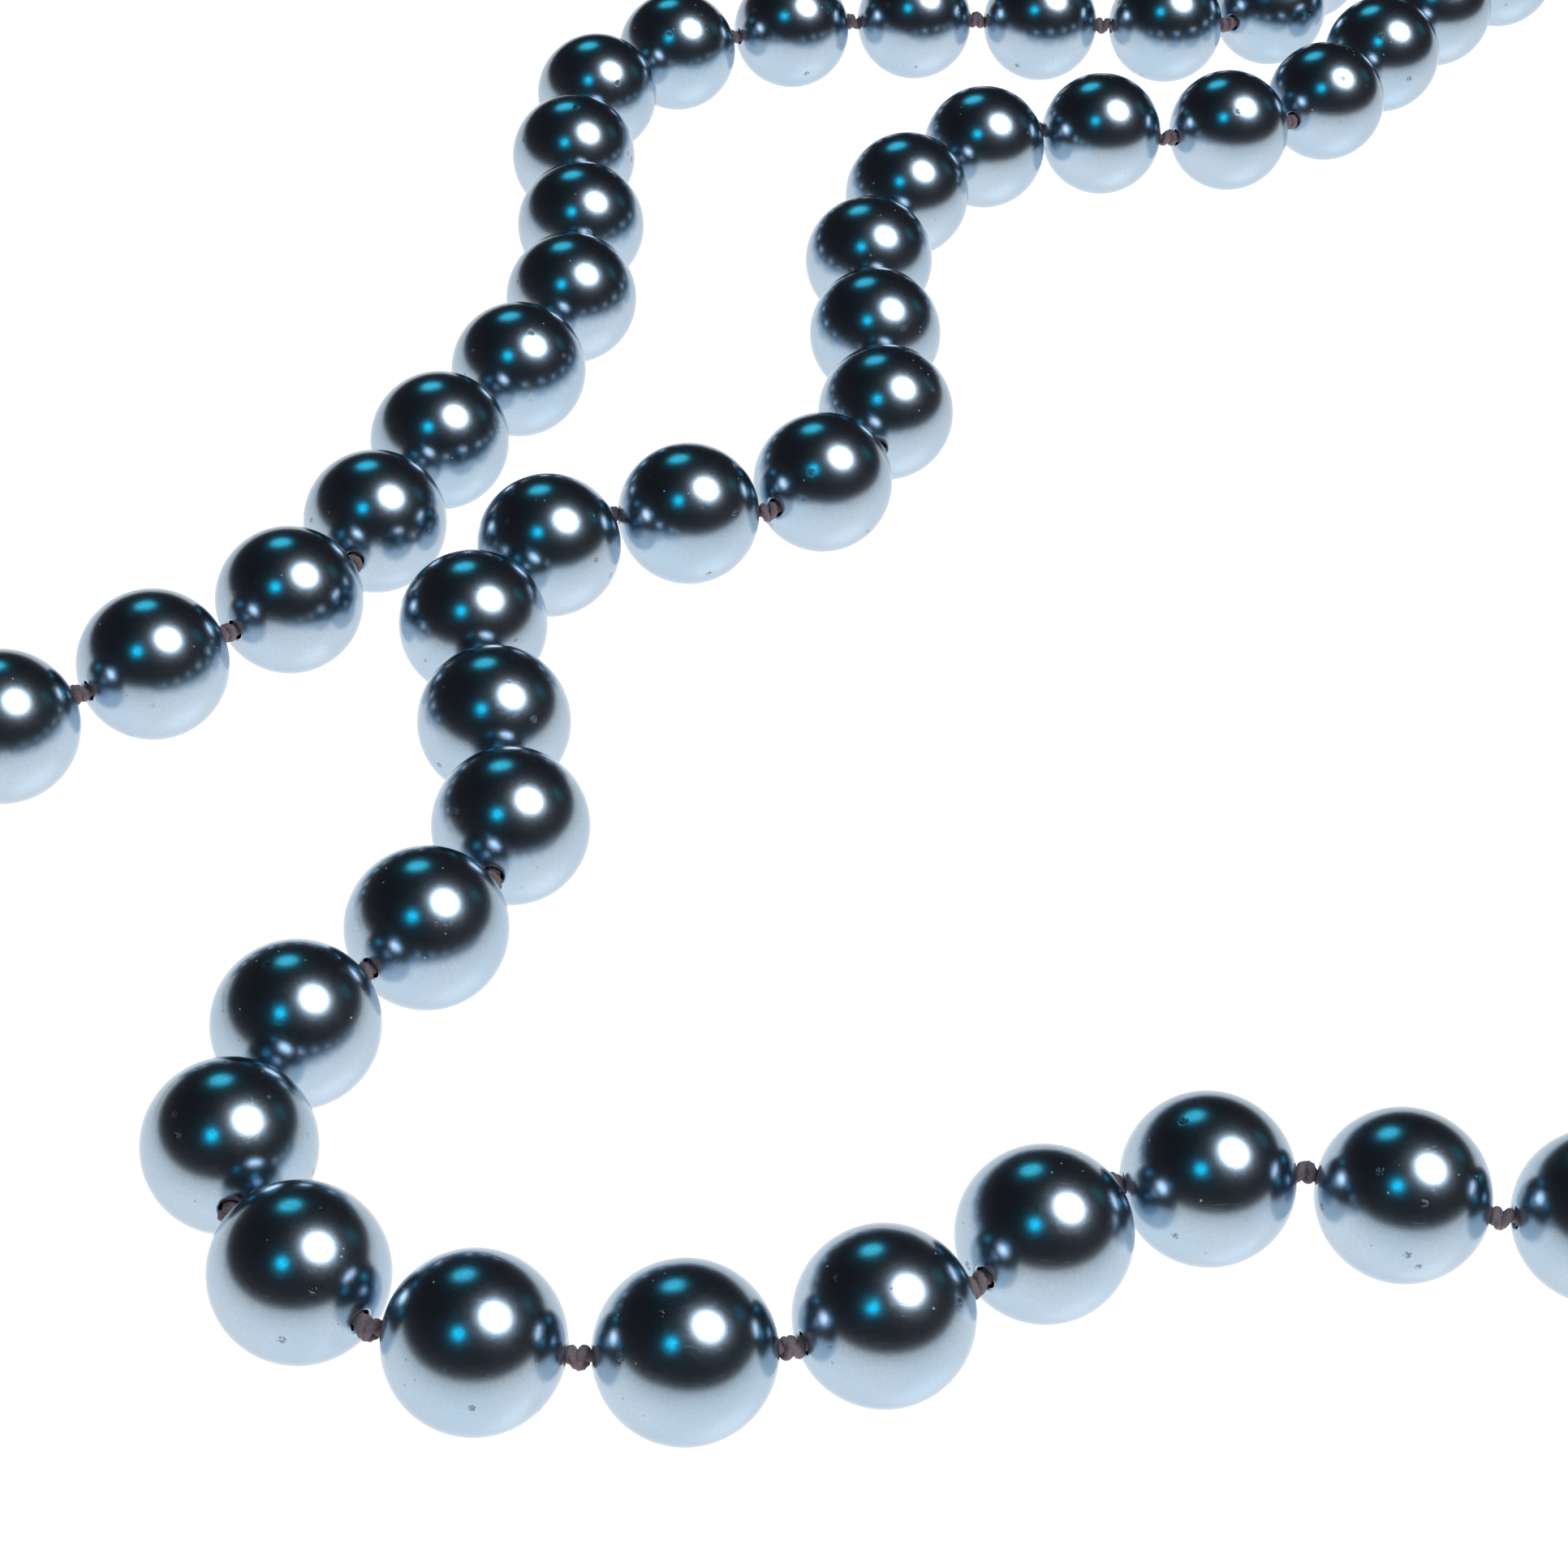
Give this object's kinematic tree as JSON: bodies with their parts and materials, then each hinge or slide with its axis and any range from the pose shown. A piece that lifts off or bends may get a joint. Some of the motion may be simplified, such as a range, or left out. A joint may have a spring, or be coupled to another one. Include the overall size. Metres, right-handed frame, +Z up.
{
  "type": "pearl necklace",
  "caption": "Single-strand necklace of glossy dark round pearls, hand-knotted on silk, with end loops, a jump ring, a lobster clasp and a catch ring.",
  "frame": {"origin": "middle of the outline on the table that the necklace lies on, z = 0 at the table", "axes": "+Z up from the table, +Y along the doubled strand towards its U-turn, +X to the right, towards the catch ring's end"},
  "size_m": [0.1137, 0.1698, 0.008],
  "materials": {
    "pearl": "polished, metallic grey-black pearl coating with blue reflections",
    "silk": "twisted mauve-brown silk thread",
    "gimp": "finely coiled bright wire",
    "silver": "polished silver plate",
    "steel": "plain spring steel"
  },
  "bodies": {
    "pearl_01": {"pearl_01": "pearl", "gimp_loop_left": "gimp"},
    "pearl_02": {"pearl_02": "pearl"},
    "pearl_03": {"pearl_03": "pearl"},
    "pearl_04": {"pearl_04": "pearl"},
    "pearl_05": {"pearl_05": "pearl"},
    "pearl_06": {"pearl_06": "pearl"},
    "pearl_07": {"pearl_07": "pearl"},
    "pearl_08": {"pearl_08": "pearl"},
    "pearl_09": {"pearl_09": "pearl"},
    "pearl_10": {"pearl_10": "pearl"},
    "pearl_11": {"pearl_11": "pearl"},
    "pearl_12": {"pearl_12": "pearl"},
    "pearl_13": {"pearl_13": "pearl"},
    "pearl_14": {"pearl_14": "pearl"},
    "pearl_15": {"pearl_15": "pearl"},
    "pearl_16": {"pearl_16": "pearl"},
    "pearl_17": {"pearl_17": "pearl"},
    "pearl_18": {"pearl_18": "pearl"},
    "pearl_19": {"pearl_19": "pearl"},
    "pearl_20": {"pearl_20": "pearl"},
    "pearl_21": {"pearl_21": "pearl"},
    "pearl_22": {"pearl_22": "pearl"},
    "pearl_23": {"pearl_23": "pearl"},
    "pearl_24": {"pearl_24": "pearl"},
    "pearl_25": {"pearl_25": "pearl"},
    "pearl_26": {"pearl_26": "pearl", "silk_cord": "silk"},
    "pearl_27": {"pearl_27": "pearl"},
    "pearl_28": {"pearl_28": "pearl"},
    "pearl_29": {"pearl_29": "pearl"},
    "pearl_30": {"pearl_30": "pearl"},
    "pearl_31": {"pearl_31": "pearl"},
    "pearl_32": {"pearl_32": "pearl"},
    "pearl_33": {"pearl_33": "pearl"},
    "pearl_34": {"pearl_34": "pearl"},
    "pearl_35": {"pearl_35": "pearl"},
    "pearl_36": {"pearl_36": "pearl"},
    "pearl_37": {"pearl_37": "pearl"},
    "pearl_38": {"pearl_38": "pearl"},
    "pearl_39": {"pearl_39": "pearl"},
    "pearl_40": {"pearl_40": "pearl"},
    "pearl_41": {"pearl_41": "pearl"},
    "pearl_42": {"pearl_42": "pearl"},
    "pearl_43": {"pearl_43": "pearl"},
    "pearl_44": {"pearl_44": "pearl"},
    "pearl_45": {"pearl_45": "pearl"},
    "pearl_46": {"pearl_46": "pearl"},
    "pearl_47": {"pearl_47": "pearl"},
    "pearl_48": {"pearl_48": "pearl"},
    "pearl_49": {"pearl_49": "pearl"},
    "pearl_50": {"pearl_50": "pearl"},
    "pearl_51": {"pearl_51": "pearl", "gimp_loop_right": "gimp"},
    "jump_ring": {"jump_ring": "silver"},
    "catch_ring": {"catch_ring": "silver"},
    "lobster_clasp": {"lobster_clasp_body": "silver", "clasp_rivet": "steel", "clasp_spring": "steel"},
    "clasp_lever": {"clasp_lever": "silver"}
  },
  "joints": [
    {"name": "clasp_lever_pivot", "type": "hinge", "parent": "lobster_clasp", "child": "clasp_lever", "pos_m": [-0.05199, -0.05075, 0.0013], "axis": [0, 0, 1], "range_deg": [0, 20], "stiffness_Nm_per_rad": 0.004, "springref_deg": -14.32, "deforming": ["clasp_spring", "silk_cord"]},
    {"name": "lobster_clasp_swing", "type": "hinge", "parent": "jump_ring", "child": "lobster_clasp", "pos_m": [-0.04751, -0.04868, 0.00135], "axis": [0, 0, 1], "range_deg": [-60, 60]},
    {"name": "jump_ring_swing", "type": "hinge", "parent": "pearl_01", "child": "jump_ring", "pos_m": [-0.04558, -0.04691, 0.00292], "axis": [0.6761, -0.7368, 0], "range_deg": [-50, 50]},
    {"name": "catch_ring_swing", "type": "hinge", "parent": "pearl_51", "child": "catch_ring", "pos_m": [0.04525, -0.0687, 0.00292], "axis": [-0.1103, 0.9939, 0], "range_deg": [-50, 50]},
    {"name": "knot_26_bend", "type": "hinge", "parent": "pearl_26", "child": "pearl_27", "pos_m": [0.0369, 0.03983, 0.004], "axis": [-0.8562, 0.5166, 0], "range_deg": [-48, 48]},
    {"name": "knot_27_bend", "type": "hinge", "parent": "pearl_27", "child": "pearl_28", "pos_m": [0.03126, 0.03282, 0.004], "axis": [0.5942, -0.8043, 0], "range_deg": [-42, 42]},
    {"name": "knot_28_bend", "type": "hinge", "parent": "pearl_28", "child": "pearl_29", "pos_m": [0.0229, 0.02948, 0.004], "axis": [0.1899, -0.9818, 0], "range_deg": [-46, 46]},
    {"name": "knot_29_bend", "type": "hinge", "parent": "pearl_29", "child": "pearl_30", "pos_m": [0.0139, 0.02946, 0.004], "axis": [-0.348, 0.9375, 0], "range_deg": [-32, 32]},
    {"name": "knot_30_bend", "type": "hinge", "parent": "pearl_30", "child": "pearl_31", "pos_m": [0.00706, 0.0236, 0.004], "axis": [-0.8165, 0.5774, 0], "range_deg": [-43, 43]},
    {"name": "knot_31_bend", "type": "hinge", "parent": "pearl_31", "child": "pearl_32", "pos_m": [0.00382, 0.01521, 0.004], "axis": [0.9669, -0.2553, 0], "range_deg": [-48, 48]},
    {"name": "knot_32_bend", "type": "hinge", "parent": "pearl_32", "child": "pearl_33", "pos_m": [0.0025, 0.00631, 0.004], "axis": [0.9978, 0.0663, 0], "range_deg": [-45, 45]},
    {"name": "knot_33_bend", "type": "hinge", "parent": "pearl_33", "child": "pearl_34", "pos_m": [0.00498, -0.00234, 0.004], "axis": [-0.9959, -0.09, 0], "range_deg": [-46, 46]},
    {"name": "knot_34_bend", "type": "hinge", "parent": "pearl_34", "child": "pearl_35", "pos_m": [0.00409, -0.0113, 0.004], "axis": [-0.9141, 0.4055, 0], "range_deg": [-36, 36]},
    {"name": "knot_35_bend", "type": "hinge", "parent": "pearl_35", "child": "pearl_36", "pos_m": [-0.00195, -0.01797, 0.004], "axis": [0.4778, -0.8785, 0], "range_deg": [-34, 34]},
    {"name": "knot_36_bend", "type": "hinge", "parent": "pearl_36", "child": "pearl_37", "pos_m": [-0.01083, -0.01941, 0.004], "axis": [0.4698, -0.8828, 0], "range_deg": [-35, 35]},
    {"name": "knot_37_bend", "type": "hinge", "parent": "pearl_37", "child": "pearl_38", "pos_m": [-0.01699, -0.02598, 0.004], "axis": [-0.9189, 0.3946, 0], "range_deg": [-33, 33]},
    {"name": "knot_38_bend", "type": "hinge", "parent": "pearl_38", "child": "pearl_39", "pos_m": [-0.01751, -0.03496, 0.004], "axis": [-0.9721, -0.2344, 0], "range_deg": [-39, 39]},
    {"name": "knot_39_bend", "type": "hinge", "parent": "pearl_39", "child": "pearl_40", "pos_m": [-0.01295, -0.04272, 0.004], "axis": [0.9793, 0.2023, 0], "range_deg": [-35, 35]},
    {"name": "knot_40_bend", "type": "hinge", "parent": "pearl_40", "child": "pearl_41", "pos_m": [-0.01406, -0.05166, 0.004], "axis": [0.9288, -0.3706, 0], "range_deg": [-42, 42]},
    {"name": "knot_41_bend", "type": "hinge", "parent": "pearl_41", "child": "pearl_42", "pos_m": [-0.01941, -0.0589, 0.004], "axis": [-0.8161, 0.578, 0], "range_deg": [-49, 49]},
    {"name": "knot_42_bend", "type": "hinge", "parent": "pearl_42", "child": "pearl_43", "pos_m": [-0.02446, -0.06634, 0.004], "axis": [-0.978, 0.2085, 0], "range_deg": [-26, 26]},
    {"name": "knot_43_bend", "type": "hinge", "parent": "pearl_43", "child": "pearl_44", "pos_m": [-0.02288, -0.0752, 0.004], "axis": [0.866, 0.5001, 0], "range_deg": [-33, 33]},
    {"name": "knot_44_bend", "type": "hinge", "parent": "pearl_44", "child": "pearl_45", "pos_m": [-0.016, -0.081, 0.004], "axis": [0.3852, 0.9228, 0], "range_deg": [-38, 38]},
    {"name": "knot_45_bend", "type": "hinge", "parent": "pearl_45", "child": "pearl_46", "pos_m": [-0.00704, -0.08182, 0.004], "axis": [0.0261, -0.9997, 0], "range_deg": [-48, 48]},
    {"name": "knot_46_bend", "type": "hinge", "parent": "pearl_46", "child": "pearl_47", "pos_m": [0.00187, -0.08053, 0.004], "axis": [0.3176, -0.9482, 0], "range_deg": [-46, 46]},
    {"name": "knot_47_bend", "type": "hinge", "parent": "pearl_47", "child": "pearl_48", "pos_m": [0.00976, -0.07619, 0.004], "axis": [-0.6166, 0.7872, 0], "range_deg": [-47, 47]},
    {"name": "knot_48_bend", "type": "hinge", "parent": "pearl_48", "child": "pearl_49", "pos_m": [0.01586, -0.06958, 0.004], "axis": [-0.4806, 0.8769, 0], "range_deg": [-36, 36]},
    {"name": "knot_49_bend", "type": "hinge", "parent": "pearl_49", "child": "pearl_50", "pos_m": [0.02472, -0.06799, 0.004], "axis": [-0.0239, -0.9997, 0], "range_deg": [-45, 45]},
    {"name": "knot_50_bend", "type": "hinge", "parent": "pearl_50", "child": "pearl_51", "pos_m": [0.03349, -0.07, 0.004], "axis": [-0.0572, -0.9984, 0], "range_deg": [-47, 47]},
    {"name": "knot_25_bend", "type": "hinge", "parent": "pearl_26", "child": "pearl_25", "pos_m": [0.04047, 0.04809, 0.004], "axis": [0.8593, -0.5114, 0], "range_deg": [-48, 48]},
    {"name": "knot_24_bend", "type": "hinge", "parent": "pearl_25", "child": "pearl_24", "pos_m": [0.04603, 0.05517, 0.004], "axis": [-0.789, 0.6144, 0], "range_deg": [-49, 49]},
    {"name": "knot_23_bend", "type": "hinge", "parent": "pearl_24", "child": "pearl_23", "pos_m": [0.05153, 0.06229, 0.004], "axis": [-0.8755, 0.4832, 0], "range_deg": [-47, 47]},
    {"name": "knot_22_bend", "type": "hinge", "parent": "pearl_23", "child": "pearl_22", "pos_m": [0.05463, 0.07074, 0.004], "axis": [0.9995, 0.0317, 0], "range_deg": [-26, 26]},
    {"name": "knot_21_bend", "type": "hinge", "parent": "pearl_22", "child": "pearl_21", "pos_m": [0.051, 0.07898, 0.004], "axis": [0.6989, 0.7152, 0], "range_deg": [-27, 27]},
    {"name": "knot_20_bend", "type": "hinge", "parent": "pearl_21", "child": "pearl_20", "pos_m": [0.04268, 0.08241, 0.004], "axis": [0.0058, -1, 0], "range_deg": [-23, 23]},
    {"name": "knot_19_bend", "type": "hinge", "parent": "pearl_20", "child": "pearl_19", "pos_m": [0.0344, 0.07888, 0.004], "axis": [0.7134, -0.7008, 0], "range_deg": [-25, 25]},
    {"name": "knot_18_bend", "type": "hinge", "parent": "pearl_19", "child": "pearl_18", "pos_m": [0.03102, 0.07054, 0.004], "axis": [-1, -0.0091, 0], "range_deg": [-24, 24]},
    {"name": "knot_17_bend", "type": "hinge", "parent": "pearl_18", "child": "pearl_17", "pos_m": [0.03455, 0.06227, 0.004], "axis": [-0.9813, -0.1924, 0], "range_deg": [-45, 45]},
    {"name": "knot_16_bend", "type": "hinge", "parent": "pearl_17", "child": "pearl_16", "pos_m": [0.03441, 0.05327, 0.004], "axis": [0.9169, -0.3991, 0], "range_deg": [-24, 24]},
    {"name": "knot_15_bend", "type": "hinge", "parent": "pearl_16", "child": "pearl_15", "pos_m": [0.02792, 0.04703, 0.004], "axis": [0.4454, -0.8953, 0], "range_deg": [-38, 38]},
    {"name": "knot_14_bend", "type": "hinge", "parent": "pearl_15", "child": "pearl_14", "pos_m": [0.01903, 0.04562, 0.004], "axis": [-0.1097, 0.994, 0], "range_deg": [-49, 49]},
    {"name": "knot_13_bend", "type": "hinge", "parent": "pearl_14", "child": "pearl_13", "pos_m": [0.01005, 0.04506, 0.004], "axis": [-0.1146, 0.9934, 0], "range_deg": [-49, 49]},
    {"name": "knot_12_bend", "type": "hinge", "parent": "pearl_13", "child": "pearl_12", "pos_m": [0.00117, 0.04356, 0.004], "axis": [0.2809, -0.9597, 0], "range_deg": [-48, 48]},
    {"name": "knot_11_bend", "type": "hinge", "parent": "pearl_12", "child": "pearl_11", "pos_m": [-0.00711, 0.04003, 0.004], "axis": [0.4961, -0.8682, 0], "range_deg": [-48, 48]},
    {"name": "knot_10_bend", "type": "hinge", "parent": "pearl_11", "child": "pearl_10", "pos_m": [-0.01435, 0.03469, 0.004], "axis": [-0.8158, 0.5784, 0], "range_deg": [-36, 36]},
    {"name": "knot_09_bend", "type": "hinge", "parent": "pearl_10", "child": "pearl_09", "pos_m": [-0.01699, 0.02609, 0.004], "axis": [-0.9959, 0.09, 0], "range_deg": [-45, 45]},
    {"name": "knot_08_bend", "type": "hinge", "parent": "pearl_09", "child": "pearl_08", "pos_m": [-0.01593, 0.01715, 0.004], "axis": [0.9904, 0.1383, 0], "range_deg": [-49, 49]},
    {"name": "knot_07_bend", "type": "hinge", "parent": "pearl_08", "child": "pearl_07", "pos_m": [-0.01451, 0.00826, 0.004], "axis": [0.9998, 0.0214, 0], "range_deg": [-48, 48]},
    {"name": "knot_06_bend", "type": "hinge", "parent": "pearl_07", "child": "pearl_06", "pos_m": [-0.01555, -0.00067, 0.004], "axis": [-0.9634, 0.268, 0], "range_deg": [-47, 47]},
    {"name": "knot_05_bend", "type": "hinge", "parent": "pearl_06", "child": "pearl_05", "pos_m": [-0.01927, -0.00887, 0.004], "axis": [-0.9099, 0.4148, 0], "range_deg": [-49, 49]},
    {"name": "knot_04_bend", "type": "hinge", "parent": "pearl_05", "child": "pearl_04", "pos_m": [-0.02302, -0.01705, 0.004], "axis": [0.9567, -0.2912, 0], "range_deg": [-48, 48]},
    {"name": "knot_03_bend", "type": "hinge", "parent": "pearl_04", "child": "pearl_03", "pos_m": [-0.02447, -0.02594, 0.004], "axis": [0.9108, -0.4129, 0], "range_deg": [-41, 41]},
    {"name": "knot_02_bend", "type": "hinge", "parent": "pearl_03", "child": "pearl_02", "pos_m": [-0.03019, -0.03288, 0.004], "axis": [-0.723, 0.6908, 0], "range_deg": [-49, 49]},
    {"name": "knot_01_bend", "type": "hinge", "parent": "pearl_02", "child": "pearl_01", "pos_m": [-0.03687, -0.03891, 0.004], "axis": [-0.6733, 0.7393, 0], "range_deg": [-49, 49]}
  ]
}
